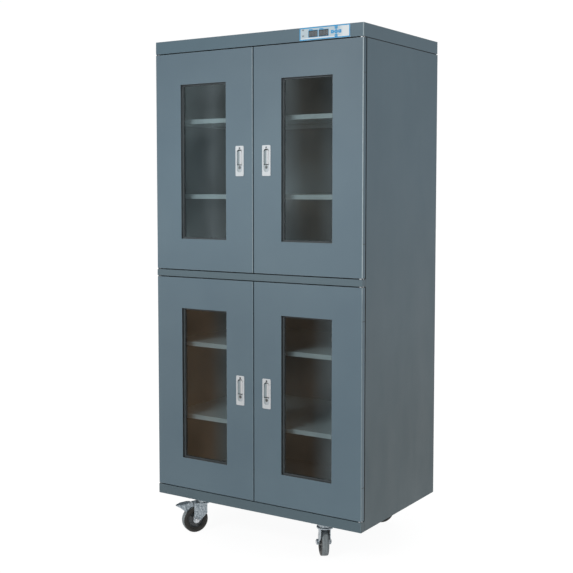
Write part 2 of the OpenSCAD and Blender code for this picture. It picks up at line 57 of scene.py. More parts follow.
class Mat:
    """A procedural material with one Principled shader."""

    def __init__(self, name):
        self.m = bpy.data.materials.new(name)
        self.m.use_nodes = True
        self.nt = self.m.node_tree
        self.nt.nodes.clear()
        self.out = self.nt.nodes.new("ShaderNodeOutputMaterial")
        self.p = self.nt.nodes.new("ShaderNodeBsdfPrincipled")
        self.link(self.p, "BSDF", self.out, "Surface")
        self.tc = self.nt.nodes.new("ShaderNodeTexCoord")
        self.bumps = []

    def link(self, a, ao, b, bi):
        self.nt.links.new(a.outputs[ao], b.inputs[bi])

    def new(self, kind, **props):
        n = self.nt.nodes.new(kind)
        for k, v in props.items():
            setattr(n, k, v)
        return n

    def coords(self, scale=(1, 1, 1), loc=(0, 0, 0), rot=(0, 0, 0)):
        mp = self.new("ShaderNodeMapping")
        mp.inputs["Scale"].default_value = scale
        mp.inputs["Location"].default_value = loc
        mp.inputs["Rotation"].default_value = rot
        self.link(self.tc, "Object", mp, "Vector")
        return mp

    def noise(self, scale, detail=2.0, rough=0.5, stretch=(1, 1, 1), distortion=0.0):
        n = self.new("ShaderNodeTexNoise")
        n.inputs["Scale"].default_value = scale
        n.inputs["Detail"].default_value = detail
        n.inputs["Roughness"].default_value = rough
        n.inputs["Distortion"].default_value = distortion
        mp = self.coords(scale=stretch)
        self.link(mp, "Vector", n, "Vector")
        return n

    def ramp(self, src, out, stops, interp="LINEAR"):
        r = self.new("ShaderNodeValToRGB")
        r.color_ramp.interpolation = interp
        el = r.color_ramp.elements
        while len(el) < len(stops):
            el.new(0.5)
        for e, (pos, col) in zip(el, stops):
            e.position = pos
            e.color = col if len(col) == 4 else (*col, 1.0)
        self.link(src, out, r, "Fac")
        return r

    def mix(self, fac, a, b, blend="MIX"):
        """fac, a, b: (node, socket) or a constant."""
        m = self.new("ShaderNodeMix", data_type="RGBA", blend_type=blend)
        for idx, val in ((0, fac), (6, a), (7, b)):
            if isinstance(val, tuple) and hasattr(val[0], "outputs"):
                self.nt.links.new(val[0].outputs[val[1]], m.inputs[idx])
            else:
                m.inputs[idx].default_value = val
        return (m, 2)

    def math(self, op, a, b=None, c=None, clamp=False):
        m = self.new("ShaderNodeMath", operation=op, use_clamp=clamp)
        for idx, val in enumerate((a, b, c)):
            if val is None:
                continue
            if isinstance(val, tuple):
                self.nt.links.new(val[0].outputs[val[1]], m.inputs[idx])
            else:
                m.inputs[idx].default_value = val
        return (m, 0)

    def maprange(self, src, lo, hi, a, b):
        m = self.new("ShaderNodeMapRange")
        m.inputs["From Min"].default_value = lo
        m.inputs["From Max"].default_value = hi
        m.inputs["To Min"].default_value = a
        m.inputs["To Max"].default_value = b
        self.nt.links.new(src[0].outputs[src[1]], m.inputs["Value"])
        return (m, "Result")

    def to(self, src, socket):
        self.nt.links.new(src[0].outputs[src[1]], self.p.inputs[socket])

    def bump(self, src, strength, distance):
        b = self.new("ShaderNodeBump")
        b.inputs["Strength"].default_value = strength
        b.inputs["Distance"].default_value = distance
        self.nt.links.new(src[0].outputs[src[1]], b.inputs["Height"])
        if self.bumps:
            self.link(self.bumps[-1], "Normal", b, "Normal")
        self.bumps.append(b)
        return b

    def finish(self, metallic=None, rough=None, spec=None, coat=None, coat_rough=None):
        if self.bumps:
            self.link(self.bumps[-1], "Normal", self.p, "Normal")
        for key, val in (("Metallic", metallic), ("Roughness", rough), ("Specular IOR Level", spec),
                         ("Coat Weight", coat), ("Coat Roughness", coat_rough)):
            if val is not None:
                self.p.inputs[key].default_value = val
        return self.m


def edge_mask(M, radius, lo=0.02, hi=0.25):
    """1 on convex and concave edges, 0 on flats, from the rounded and the real normal."""
    bev = M.new("ShaderNodeBevel", samples=4)
    bev.inputs["Radius"].default_value = radius
    geo = M.new("ShaderNodeNewGeometry")
    dot = M.new("ShaderNodeVectorMath", operation="DOT_PRODUCT")
    M.link(bev, "Normal", dot, 0)
    M.link(geo, "True Normal", dot, 1)
    inv = M.math("SUBTRACT", 1.0, (dot, "Value"))
    return M.maprange(inv, lo, hi, 0.0, 1.0)


def band(M, axis, centre, half, soft=0.0002):
    """1 where the object coordinate lies within half of centre."""
    sep = M.new("ShaderNodeSeparateXYZ")
    M.link(M.tc, "Object", sep, "Vector")
    off = M.math("ABSOLUTE", M.math("SUBTRACT", (sep, axis), centre))
    return M.maprange(off, half, half + soft, 1.0, 0.0)


def paint(name, light, dark, rough=0.46, grain=1.0, edge_rub_and_highlight=None, edge=0.8 * MM, edge_rub_and_highlight_amount=0.55, gap_shade=None, low=None, edge_highlights=None, span=(0.15, 1.1), high=None, reveal_shade=None, side_sheen=None):
    """Satin powder coat: cloudy tone, fine pigment speckle, orange peel, and on the edges a touch of rub that is partly
    a painted highlight.
    Bands given as (axis, centre, half) get painted shade for the gaps; low paints shade towards the foot, high paints
    shade towards the top;
    the cut sides of the window openings get painted shade, deeper on the lower doors; the outer sides get a lighter
    painted sheen; listed front edges get painted highlights."""
    M = Mat(name)
    cloud = M.noise(3.2, 3.0, 0.55)
    base = M.ramp(cloud, "Fac", [(0.32, dark), (0.68, light)])
    speck = M.noise(620.0, 2.0, 0.6)
    tone = M.ramp(speck, "Fac", [(0.30, (0.90, 0.90, 0.90, 1)), (0.55, (1, 1, 1, 1)), (0.75, (1.07, 1.07, 1.07, 1))])
    col = M.mix(0.85, (base, "Color"), (tone, "Color"), "MULTIPLY")
    # painted shade: the colour is multiplied darker towards the foot
    if low:
        sep = M.new("ShaderNodeSeparateXYZ")
        M.link(M.tc, "Object", sep, "Vector")
        fac = M.maprange((sep, "Z"), span[0], span[1], 1.0, 0.0)
        col = M.mix(fac, col, low, "MULTIPLY")
    # painted shade: the colour is multiplied darker towards the top
    if high:
        sep = M.new("ShaderNodeSeparateXYZ")
        M.link(M.tc, "Object", sep, "Vector")
        fac = M.maprange((sep, "Z"), 1.42, 1.80, 0.0, 1.0)
        col = M.mix(fac, col, high, "MULTIPLY")
    # painted sheen: the outer sides get a lighter tone standing in for light falling on them
    if side_sheen:
        sep = M.new("ShaderNodeSeparateXYZ")
        M.link(M.tc, "Object", sep, "Vector")
        side = M.maprange(M.math("ABSOLUTE", (sep, "X")), 0.4490, 0.4496, 0.0, 1.0)
        outer = M.mix(0.85, side_sheen, (tone, "Color"), "MULTIPLY")
        col = M.mix(side, col, outer)
    # painted shade on the cut sides of the window openings, deeper on the lower doors
    if reveal_shade:
        sep = M.new("ShaderNodeSeparateXYZ")
        M.link(M.tc, "Object", sep, "Vector")
        ax = M.math("ABSOLUTE", (sep, "X"))
        offs = [M.math("ABSOLUTE", M.math("SUBTRACT", ax, x)) for x in reveal_shade[0]]
        offs += [M.math("ABSOLUTE", M.math("SUBTRACT", (sep, "Z"), z)) for z in reveal_shade[1]]
        near = offs[0]
        for off in offs[1:]:
            near = M.math("MINIMUM", near, off)
        on = M.math("MULTIPLY", M.maprange(near, 0.0008, 0.0012, 1.0, 0.0), M.maprange((sep, "Y"), -0.2994, -0.2990, 0.0, 1.0))
        upper_reveal_shade = M.ramp(M.noise(300.0, 2.0, 0.5), "Fac", [(0.3, rgb(74, 80, 83)), (0.7, rgb(84, 90, 93))])
        lower_reveal_shade = M.ramp(M.noise(300.0, 2.0, 0.5), "Fac", [(0.3, rgb(46, 49, 50)), (0.7, rgb(56, 59, 60))])
        shade = M.mix(M.maprange((sep, "Z"), 0.95, 1.05, 1.0, 0.0), (upper_reveal_shade, "Color"), (lower_reveal_shade, "Color"))
        col = M.mix(on, col, shade)
    # edge mask: a touch of rub on the edges that is partly a painted highlight along them
    if edge_rub_and_highlight:
        mask = edge_mask(M, edge)
        col = M.mix(M.math("MULTIPLY", mask, edge_rub_and_highlight_amount), col, edge_rub_and_highlight)
    # painted highlights: bright strips along the front vertical edges at the listed x, weaker on the lower doors
    if edge_highlights:
        sep = M.new("ShaderNodeSeparateXYZ")
        M.link(M.tc, "Object", sep, "Vector")
        upper = M.maprange((sep, "Z"), 0.93, 1.05, 0.38, 1.0)
    for rim, amount in edge_highlights or ():
        on = M.math("MULTIPLY", band(M, "X", rim, 0.0010, 0.0003), band(M, "Y", -0.2992, 0.0014, 0.0006))
        highlight_tone = M.ramp(M.noise(60.0, 2.0, 0.5), "Fac", [(0.3, rgb(190, 208, 212)), (0.7, rgb(216, 230, 233))])
        col = M.mix(M.math("MULTIPLY", M.math("MULTIPLY", on, upper), amount), col, (highlight_tone, "Color"))
    # painted shade: dark bands where the gaps beside the doors and the ceiling edges lie in shadow
    for axis, centre, half_width in gap_shade or ():
        gap_shade_tone = M.ramp(M.noise(900.0, 2.0, 0.6), "Fac", [(0.3, rgb(24, 26, 27)), (0.7, rgb(34, 36, 38))])
        col = M.mix(band(M, axis, centre, half_width), col, (gap_shade_tone, "Color"))
    M.to(col, "Base Color")
    wipe = M.noise(9.0, 4.0, 0.6, stretch=(1, 1, 0.35))
    M.to(M.maprange((wipe, "Fac"), 0.25, 0.75, rough - 0.05, rough + 0.07), "Roughness")
    peel = M.noise(420.0, 1.0, 0.4)
    grit = M.noise(1500.0, 2.0, 0.5)
    M.bump((peel, "Fac"), 0.10 * grain, 0.00025)
    M.bump((grit, "Fac"), 0.12 * grain, 0.00010)
    return M.finish(spec=0.45)


def metal(name, light, dark, rough=0.28, brush=(1, 1, 1), scale=300.0, spangle=None, metallic=1.0, bump=0.05):
    M = Mat(name)
    n = M.noise(scale, 3.0, 0.6, stretch=brush)
    base = M.ramp(n, "Fac", [(0.3, dark), (0.7, light)])
    col = (base, "Color")
    if spangle:
        v = M.new("ShaderNodeTexVoronoi", feature="F1")
        v.inputs["Scale"].default_value = spangle
        mp = M.coords()
        M.link(mp, "Vector", v, "Vector")
        bw = M.new("ShaderNodeRGBToBW")
        M.link(v, "Color", bw, "Color")
        sp = M.ramp(bw, "Val", [(0.2, (0.78, 0.78, 0.80, 1)), (0.8, (1, 1, 1, 1))])
        col = M.mix(0.6, col, (sp, "Color"), "MULTIPLY")
    M.to(col, "Base Color")
    r = M.noise(60.0, 3.0, 0.6)
    M.to(M.maprange((r, "Fac"), 0.25, 0.75, rough - 0.06, rough + 0.10), "Roughness")
    M.bump((n, "Fac"), bump, 0.0001)
    return M.finish(metallic=metallic)


def plastic(name, light, dark, rough=0.42, grain=900.0, bump=0.10, spec=0.4):
    M = Mat(name)
    c = M.noise(25.0, 3.0, 0.5)
    base = M.ramp(c, "Fac", [(0.3, dark), (0.7, light)])
    M.to((base, "Color"), "Base Color")
    g = M.noise(grain, 2.0, 0.55)
    M.to(M.maprange((g, "Fac"), 0.3, 0.7, rough - 0.05, rough + 0.08), "Roughness")
    M.bump((g, "Fac"), bump, 0.00012)
    return M.finish(spec=spec)


# ---------------------------------------------------------------- materials
# painted shade factors for the foot of the doors and of the side panels
DOOR_FOOT_SHADE = (0.96, 0.98, 0.98, 1)
SIDE_FOOT_SHADE = (0.53, 0.56, 0.53, 1)
# painted shade band at the side panels' front edge, in the gap behind the doors
GAP_SHADE_BAND = (("Y", -0.2749, 0.0006),)
# these paints carry painted shade at foot and top, painted edge highlights and a painted sheen on the outer sides
BODY = paint("body_paint", rgb(94, 118, 130), rgb(89, 112, 124), rough=0.47, edge_rub_and_highlight=rgb(172, 184, 190), edge_rub_and_highlight_amount=0.8, low=(0.97, 0.90, 0.86, 1), edge_highlights=((0.4489, 0.6),), high=(0.84, 0.85, 0.86, 1), side_sheen=rgb(108, 128, 139))
SIDE = paint("side_paint", rgb(109, 129, 140), rgb(103, 123, 134), rough=0.47, edge_rub_and_highlight=rgb(150, 166, 174), gap_shade=GAP_SHADE_BAND, low=SIDE_FOOT_SHADE, span=(0.4, 1.4))
OPENING_Z = [z for d in ("ul", "ll") for z in (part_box(f"door_{d}_glass")[0].z + 3 * MM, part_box(f"door_{d}_glass")[1].z - 3 * MM)]
DOOR = paint("door_paint", rgb(107, 128, 140), rgb(101, 122, 135), rough=0.46, edge_rub_and_highlight=rgb(182, 193, 198), edge_rub_and_highlight_amount=0.85, low=DOOR_FOOT_SHADE, edge_highlights=((0.4489, 0.85), (-0.0032, 0.42)), high=(0.79, 0.80, 0.81, 1), reveal_shade=((0.121, 0.331), OPENING_Z))
INNER = paint("inner_paint", rgb(96, 111, 119), rgb(88, 102, 109), rough=0.55, edge_rub_and_highlight=rgb(120, 134, 140))
# the ceiling gets painted shade bands along its front and side edges
CEILING = paint("ceiling_paint", rgb(96, 111, 119), rgb(88, 102, 109), rough=0.55, edge_rub_and_highlight=rgb(120, 134, 140),
                gap_shade=(("Y", -0.2749, 0.0006), ("X", 0.446, 0.0006), ("X", -0.446, 0.0006)))
SHELF = paint("shelf_paint", rgb(186, 201, 207), rgb(177, 192, 199), rough=0.45, edge_rub_and_highlight=rgb(186, 198, 204))


def lock_metal(name, light, dark, shade, rough, metallic, front=None):
    """Satin nickel, brushed up and down; the left half of the hollow behind the plate gets painted shade."""
    M = Mat(name)
    sep = M.new("ShaderNodeSeparateXYZ")
    M.link(M.tc, "Object", sep, "Vector")
    u = M.math("SUBTRACT", (sep, "X"), M.math("MULTIPLY", M.math("SIGN", (sep, "X")), 0.0585))
    n = M.noise(900.0, 3.0, 0.6, stretch=(1, 1, 0.04))
    base = M.ramp(n, "Fac", [(0.3, dark), (0.7, light)])
    # painted shade on the left half of the hollow
    half = M.maprange(u, -0.0035, 0.0015, 1.0, 0.0)
    if front is not None:
        half = M.math("MULTIPLY", half, M.maprange((sep, "Y"), front, front + 0.0006, 0.0, 1.0))
    M.to(M.mix(half, (base, "Color"), shade), "Base Color")
    M.to(M.maprange((n, "Fac"), 0.25, 0.75, rough - 0.05, rough + 0.08), "Roughness")
    M.bump((n, "Fac"), 0.05, 0.0001)
    return M.finish(metallic=metallic)


LOCK = lock_metal("lock_plate", rgb(224, 228, 231), rgb(213, 218, 222), rgb(168, 176, 178), 0.40, 0.06, front=-0.3014)
LEVER = lock_metal("lock_lever_metal", rgb(232, 233, 235), rgb(220, 221, 224), rgb(150, 162, 167), 0.32, 0.18)
APRON = lock_metal("lock_apron", rgb(202, 209, 214), rgb(188, 196, 202), rgb(176, 186, 190), 0.40, 0.06)
CORE = metal("lock_core_metal", rgb(138, 141, 143), rgb(104, 107, 109), rough=0.32, scale=500.0, metallic=0.4)
ZINC = metal("zinc_plate", rgb(214, 220, 226), rgb(176, 186, 196), rough=0.27, scale=120.0, spangle=260.0, metallic=0.95, bump=0.08)
CASTOR = metal("castor_zinc", rgb(200, 209, 214), rgb(100, 114, 123), rough=0.22, scale=150.0, spangle=260.0, metallic=0.70, bump=0.16)
PEDAL = metal("pedal_zinc", rgb(200, 210, 216), rgb(80, 95, 104), rough=0.18, scale=120.0, spangle=200.0, metallic=0.72, bump=0.20)
SCREW = metal("screw_steel", rgb(236, 239, 242), rgb(196, 200, 206), rough=0.24, scale=300.0, metallic=0.5)
DARKSCREW = metal("screw_dark", rgb(112, 116, 120), rgb(74, 78, 82), rough=0.35, scale=300.0)
SEAL = plastic("door_seal", rgb(46, 48, 50), rgb(36, 38, 40), rough=0.62, grain=600.0, spec=0.25)
GASKET = plastic("window_gasket", rgb(82, 88, 91), rgb(72, 78, 81), rough=0.55, grain=700.0, spec=0.25)
KEYBLUE = plastic("key_blue", rgb(14, 152, 212), rgb(8, 138, 200), rough=0.38, grain=1200.0)
BORDER = plastic("panel_border", rgb(14, 158, 214), rgb(8, 146, 204), rough=0.36, grain=1400.0)
BOARD = plastic("board_green", rgb(34, 92, 62), rgb(26, 76, 50), rough=0.40, grain=500.0)
DISPLAY = plastic("display_smoke", rgb(66, 68, 70), rgb(52, 53, 55), rough=0.20, grain=900.0, bump=0.02, spec=0.5)
SEGMENT = plastic("display_segment", rgb(128, 138, 146), rgb(112, 122, 130), rough=0.30, grain=900.0, bump=0.02)
PRINTGREY = plastic("panel_mark", rgb(120, 126, 130), rgb(104, 110, 114), rough=0.45)
UNIT = plastic("unit_plastic", rgb(214, 216, 216), rgb(202, 204, 204), rough=0.45, grain=500.0)
SHUTTER = plastic("shutter_plastic", rgb(180, 184, 186), rgb(168, 172, 174), rough=0.42, grain=500.0)
SENSOR = plastic("sensor_plastic", rgb(222, 224, 225), rgb(212, 214, 215), rough=0.42, grain=600.0)
BLACKP = plastic("inlet_black", rgb(30, 30, 31), rgb(22, 22, 23), rough=0.38, grain=500.0)
REDP = plastic("switch_red", rgb(170, 28, 22), rgb(150, 20, 16), rough=0.30, grain=900.0, bump=0.03)
WHITEP = plastic("key_mark", rgb(225, 232, 236), rgb(214, 222, 228), rough=0.40)
RUBBER = plastic("wheel_rubber", rgb(64, 63, 60), rgb(46, 45, 43), rough=0.55, grain=260.0, bump=0.25, spec=0.35)
TREAD = plastic("wheel_tread", rgb(168, 176, 178), rgb(138, 146, 149), rough=0.62, grain=240.0, bump=0.25, spec=0.3)
HUB = plastic("wheel_hub", rgb(70, 75, 78), rgb(52, 56, 59), rough=0.30, grain=500.0, spec=0.6)


def hinge_plate():
    """Bright collar round the hinge pin; the plate that fills the gap beside it is blacked as painted shade in the gap,
    and the collars on the left doors get painted shade.
    """
    M = Mat("hinge_plate")
    sep = M.new("ShaderNodeSeparateXYZ")
    M.link(M.tc, "Object", sep, "Vector")
    dx = M.math("SUBTRACT", M.math("ABSOLUTE", (sep, "X")), 0.4412)
    dy = M.math("SUBTRACT", (sep, "Y"), -0.290)
    r = M.math("SQRT", M.math("ADD", M.math("MULTIPLY", dx, dx), M.math("MULTIPLY", dy, dy)))
    # painted shade: black outside the collar, where the gap lies in shadow
    dark = M.maprange(r, 0.0074, 0.0076, 0.0, 1.0)
    n = M.noise(240.0, 3.0, 0.6)
    zinc = M.ramp(n, "Fac", [(0.3, rgb(236, 239, 242)), (0.7, rgb(250, 251, 252))])
    gap_shade_black = M.ramp(n, "Fac", [(0.3, rgb(30, 32, 34)), (0.7, rgb(42, 44, 46))])
    shaded_zinc = M.ramp(n, "Fac", [(0.3, rgb(112, 120, 125)), (0.7, rgb(138, 146, 151))])
    # painted shade: the collars on the left (x < 0) are duller
    zinc_with_painted_shade = M.mix(M.maprange((sep, "X"), -0.1, 0.1, 1.0, 0.0), (zinc, "Color"), (shaded_zinc, "Color"))
    M.to(M.mix(dark, zinc_with_painted_shade, (gap_shade_black, "Color")), "Base Color")
    M.to(M.maprange((n, "Fac"), 0.3, 0.7, 0.30, 0.42), "Roughness")
    M.bump((n, "Fac"), 0.06, 0.0001)
    return M.finish(metallic=0.25)


def desiccant():
    M = Mat("desiccant")
    v = M.new("ShaderNodeTexVoronoi", feature="F1")
    v.inputs["Scale"].default_value = 320.0
    mp = M.coords()
    M.link(mp, "Vector", v, "Vector")
    r = M.ramp(v, "Distance", [(0.1, rgb(214, 204, 176)), (0.7, rgb(172, 160, 132))])
    M.to((r, "Color"), "Base Color")
    M.bump((v, "Distance"), 0.5, 0.001)
    return M.finish(rough=0.75)


def membrane():
    """Printed polyester membrane: pale grey-blue field that gets whiter to the right and at the lower edge."""
    M = Mat("panel_membrane")
    sep = M.new("ShaderNodeSeparateXYZ")
    M.link(M.tc, "Object", sep, "Vector")
    right = M.maprange((sep, "X"), 0.352, 0.372, 0.0, 1.0)
    low = M.maprange((sep, "Z"), 1.8540, 1.8515, 0.0, 1.0)
    both = M.math("MAXIMUM", right, low)
    g = M.noise(40.0, 2.0, 0.5)
    field = M.ramp(g, "Fac", [(0.3, rgb(184, 200, 208)), (0.7, rgb(190, 206, 214))])
    col = M.mix(both, (field, "Color"), rgb(222, 229, 232))
    M.to(col, "Base Color")
    fine = M.noise(1800.0, 2.0, 0.5)
    M.bump((fine, "Fac"), 0.10, 0.00006)
    M.to(M.maprange((fine, "Fac"), 0.3, 0.7, 0.34, 0.44), "Roughness")
    return M.finish(spec=0.4)


def glass():
    """Slightly smoked flat glass: what is behind shows through it, darker at a slant, with a clear mirror layer and faint wipe marks."""
    m = bpy.data.materials.new("window_glass")
    m.use_nodes = True
    nt = m.node_tree
    nt.nodes.clear()
    out = nt.nodes.new("ShaderNodeOutputMaterial")
    tr = nt.nodes.new("ShaderNodeBsdfTransparent")
    gl = nt.nodes.new("ShaderNodeBsdfGlossy")
    mix = nt.nodes.new("ShaderNodeMixShader")
    fr = nt.nodes.new("ShaderNodeFresnel")
    fr.inputs["IOR"].default_value = 1.40
    tc = nt.nodes.new("ShaderNodeTexCoord")
    mp = nt.nodes.new("ShaderNodeMapping")
    mp.inputs["Scale"].default_value = (1.0, 1.0, 0.4)
    no = nt.nodes.new("ShaderNodeTexNoise")
    no.inputs["Scale"].default_value = 14.0
    no.inputs["Detail"].default_value = 4.0
    mr = nt.nodes.new("ShaderNodeMapRange")
    mr.inputs["From Min"].default_value = 0.45
    mr.inputs["From Max"].default_value = 0.8
    mr.inputs["To Min"].default_value = 0.02
    mr.inputs["To Max"].default_value = 0.12
    cr = nt.nodes.new("ShaderNodeValToRGB")
    cr.color_ramp.elements[0].position = 0.35
    cr.color_ramp.elements[0].color = (0.80, 0.83, 0.83, 1)
    cr.color_ramp.elements[1].position = 0.75
    cr.color_ramp.elements[1].color = (0.84, 0.87, 0.87, 1)
    L = nt.links.new
    L(tc.outputs["Object"], mp.inputs["Vector"])
    L(mp.outputs["Vector"], no.inputs["Vector"])
    L(no.outputs["Fac"], mr.inputs["Value"])
    L(no.outputs["Fac"], cr.inputs["Fac"])
    L(cr.outputs["Color"], tr.inputs["Color"])
    L(mr.outputs["Result"], gl.inputs["Roughness"])
    gl.inputs["Color"].default_value = (0.95, 0.97, 0.98, 1)
    L(fr.outputs["Fac"], mix.inputs["Fac"])
    L(tr.outputs["BSDF"], mix.inputs[1])
    L(gl.outputs["BSDF"], mix.inputs[2])
    # painted reflection: a grey band along the left and right edges of each pane, filling the dark line the reveal
    # leaves in the reflection
    painted_edge_reflection = nt.nodes.new("ShaderNodeBsdfDiffuse")
    painted_edge_reflection.inputs["Color"].default_value = rgb(98, 105, 108)
    sep = nt.nodes.new("ShaderNodeSeparateXYZ")
    L(tc.outputs["Object"], sep.inputs["Vector"])
    ab = nt.nodes.new("ShaderNodeMath"); ab.operation = "ABSOLUTE"
    L(sep.outputs["X"], ab.inputs[0])
    ends = []
    for a, b in ((0.3215, 0.3265), (0.1305, 0.1255)):
        e = nt.nodes.new("ShaderNodeMapRange")
        e.inputs["From Min"].default_value = a
        e.inputs["From Max"].default_value = b
        e.inputs["To Max"].default_value = 0.75
        L(ab.outputs["Value"], e.inputs["Value"])
        ends.append(e)
    mx = nt.nodes.new("ShaderNodeMath"); mx.operation = "MAXIMUM"
    L(ends[0].outputs["Result"], mx.inputs[0])
    L(ends[1].outputs["Result"], mx.inputs[1])
    rim = nt.nodes.new("ShaderNodeMixShader")
    L(mx.outputs["Value"], rim.inputs["Fac"])
    L(mix.outputs["Shader"], rim.inputs[1])
    L(painted_edge_reflection.outputs["BSDF"], rim.inputs[2])
    L(rim.outputs["Shader"], out.inputs["Surface"])
    return m


DESICCANT = desiccant()
MEMBRANE = membrane()
GLASS = glass()
HINGE = hinge_plate()

NODE_MATERIAL = {}
for name in N:
    if name.startswith("door_") and name.endswith("_panel"):
        NODE_MATERIAL[name] = DOOR
    elif name.startswith("door_") and name.endswith("_glass"):
        NODE_MATERIAL[name] = GLASS
    elif name.startswith("door_") and name.endswith("_gasket"):
        NODE_MATERIAL[name] = GASKET
    elif name.startswith("lock_"):
        NODE_MATERIAL[name] = {"case": LOCK, "lever": LEVER, "core": CORE}[name.split("_")[2]]
    elif name.startswith("castor_") and name != "castor_plates":
        NODE_MATERIAL[name] = {"fork": CASTOR, "wheel": RUBBER, "pedal": PEDAL}[name.split("_")[2]]
    elif name.startswith("key_"):
        NODE_MATERIAL[name] = KEYBLUE
NODE_MATERIAL.update({
    "side_panel_left": SIDE, "side_panel_right": SIDE, "back_panel": BODY, "top_cover": BODY, "base_tray": BODY,
    "front_frame": SIDE, "chamber_ceiling": CEILING, "door_seals": SEAL, "shelves": SHELF, "shelf_uprights": INNER,
    "shelf_clips": ZINC, "hinge_pins": HINGE, "castor_plates": CASTOR, "control_panel": MEMBRANE,
    "control_board": BOARD, "drying_unit_case": UNIT, "desiccant_block": DESICCANT, "humidity_sensor": SENSOR,
    "power_inlet": BLACKP, "drying_unit_shutter": SHUTTER, "power_switch": REDP,
})
for name, obj in N.items():
    obj.data.materials.clear()
    obj.data.materials.append(NODE_MATERIAL[name])


# ---------------------------------------------------------------- softened edges on the sheet metal
def soften(name, width, segments=2, angle=40.0):
    o = N[name]
    w = o.modifiers.new("weld", "WELD")
    w.merge_threshold = 0.00002
    b = o.modifiers.new("bevel", "BEVEL")
    b.width = width
    b.segments = segments
    b.limit_method = "ANGLE"
    b.angle_limit = math.radians(angle)
    b.use_clamp_overlap = True
    b.harden_normals = True
    b.miter_outer = "MITER_ARC"


for name in ("top_cover", "base_tray", "side_panel_left", "side_panel_right", "back_panel"):
    soften(name, 0.6 * MM)
for d in ("ul", "ur", "ll", "lr"):
    soften(f"door_{d}_panel", 0.6 * MM)
    soften(f"lock_{d}_case", 0.35 * MM)


# ---------------------------------------------------------------- piece helpers
def add(name, bm, material, body, smooth=False, bevel=0.0):
    if bevel:
        bmesh.ops.bevel(bm, geom=bm.edges[:], offset=bevel, segments=2, affect="EDGES", clamp_overlap=True)
    bmesh.ops.recalc_face_normals(bm, faces=bm.faces[:])
    me = bpy.data.meshes.new(name)
    bm.to_mesh(me)
    bm.free()
    for m in (material if isinstance(material, (list, tuple)) else [material]):
        me.materials.append(m)
    if smooth:
        me.shade_smooth()
    o = bpy.data.objects.new(name, me)
    scene.collection.objects.link(o)
    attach(o, body)
    return o


def prism(bm, pts, y0, y1, xf=None, mat=0):
    """Extrudes an outline given in x, z between two y planes."""
    a = [bm.verts.new((x, y0, z)) for x, z in pts]
    b = [bm.verts.new((x, y1, z)) for x, z in pts]
    faces = [bm.faces.new(a), bm.faces.new(b[::-1])]
    n = len(pts)
    for i in range(n):
        faces.append(bm.faces.new((a[i], b[i], b[(i + 1) % n], a[(i + 1) % n])))
    for f in faces:
        f.material_index = mat
    if xf is not None:
        bmesh.ops.transform(bm, matrix=xf, verts=a + b)
    return a + b


def lathe(bm, profile, n, centre, axis, start=0.0, wobble=None, mat_of=None, close=True):
    """Turns a profile of (radius, height) about an axis through centre. wobble(i, angle) gives a change of (radius, height)."""
    axis = Vector(axis).normalized()
    u = axis.orthogonal().normalized()
    if abs(axis.z) < 0.5:
        u = Vector((0, 0, 1)).cross(axis).normalized()
    v = axis.cross(u)
    c = Vector(centre)
    rings = []
    for k in range(n):
        t = start + 2 * math.pi * k / n
        ring = []
        for i, (r, h) in enumerate(profile):
            dr, dh = wobble(i, t) if wobble else (0, 0)
            p = c + (u * math.cos(t) + v * math.sin(t)) * (r + dr) + axis * (h + dh)
            ring.append(bm.verts.new(p))
        rings.append(ring)
    m = len(profile)
    last = m if close else m - 1
    for k in range(n):
        a, b = rings[k], rings[(k + 1) % n]
        for i in range(last):
            j = (i + 1) % m
            f = bm.faces.new((a[i], b[i], b[j], a[j]))
            f.smooth = True
            if mat_of:
                f.material_index = mat_of(i)
    return rings


def solid_lathe(bm, profile, n, centre, axis, mat=0, start=0.0, smooth=True):
    """A turned solid whose profile runs from the axis (radius 0) to the axis."""
    inner = [p for p in profile if p[0] > 1e-9]
    rings = lathe(bm, inner, n, centre, axis, start=start, close=False, mat_of=lambda i: mat)
    f1 = bm.faces.new([r[0] for r in rings])
    f2 = bm.faces.new([r[-1] for r in rings][::-1])
    f1.material_index = f2.material_index = mat
    if not smooth:
        for f in bm.faces:
            f.smooth = False
    return rings


def rrect(cx, cz, w, h, r, n=5):
    pts = []
    for sx, sz, a0 in ((1, 1, 0), (-1, 1, 90), (-1, -1, 180), (1, -1, 270)):
        for k in range(n + 1):
            a = math.radians(a0 + 90 * k / n)
            pts.append((cx + sx * (w / 2 - r) + r * math.cos(a), cz + sz * (h / 2 - r) + r * math.sin(a)))
    return pts


def ring_plate(bm, outer, inner, y0, y1, mat=0):
    n = len(outer)
    o0 = [bm.verts.new((x, y0, z)) for x, z in outer]
    i0 = [bm.verts.new((x, y0, z)) for x, z in inner]
    o1 = [bm.verts.new((x, y1, z)) for x, z in outer]
    i1 = [bm.verts.new((x, y1, z)) for x, z in inner]
    for k in range(n):
        j = (k + 1) % n
        for q in ((o0[k], o0[j], i0[j], i0[k]), (o1[j], o1[k], i1[k], i1[j]), (o0[j], o0[k], o1[k], o1[j]), (i0[k], i0[j], i1[j], i1[k])):
            f = bm.faces.new(q)
            f.material_index = mat


# ---------------------------------------------------------------- control panel prints, keys, displays
PX, PZ = 298.5 * MM, 1867 * MM
PY = -301.2 * MM
bm = bmesh.new()
ring_plate(bm, rrect(PX, PZ, 200.4 * MM, 43.4 * MM, 1.5 * MM), rrect(PX, PZ, 193.6 * MM, 36.6 * MM, 1.0 * MM), PY - 0.10 * MM, PY + 0.05 * MM)
add("panel_border_print", bm, BORDER, "cabinet")

bm = bmesh.new()
for z in (1881.0, 1860.5):
    prism(bm, [((212.5 - 5.2) * MM, (z + 2.4) * MM), ((212.5 + 5.2) * MM, (z + 2.4) * MM), (212.5 * MM, (z - 3.4) * MM)], PY - 0.08 * MM, PY + 0.05 * MM)
add("panel_triangle_prints", bm, PRINTGREY, "cabinet")

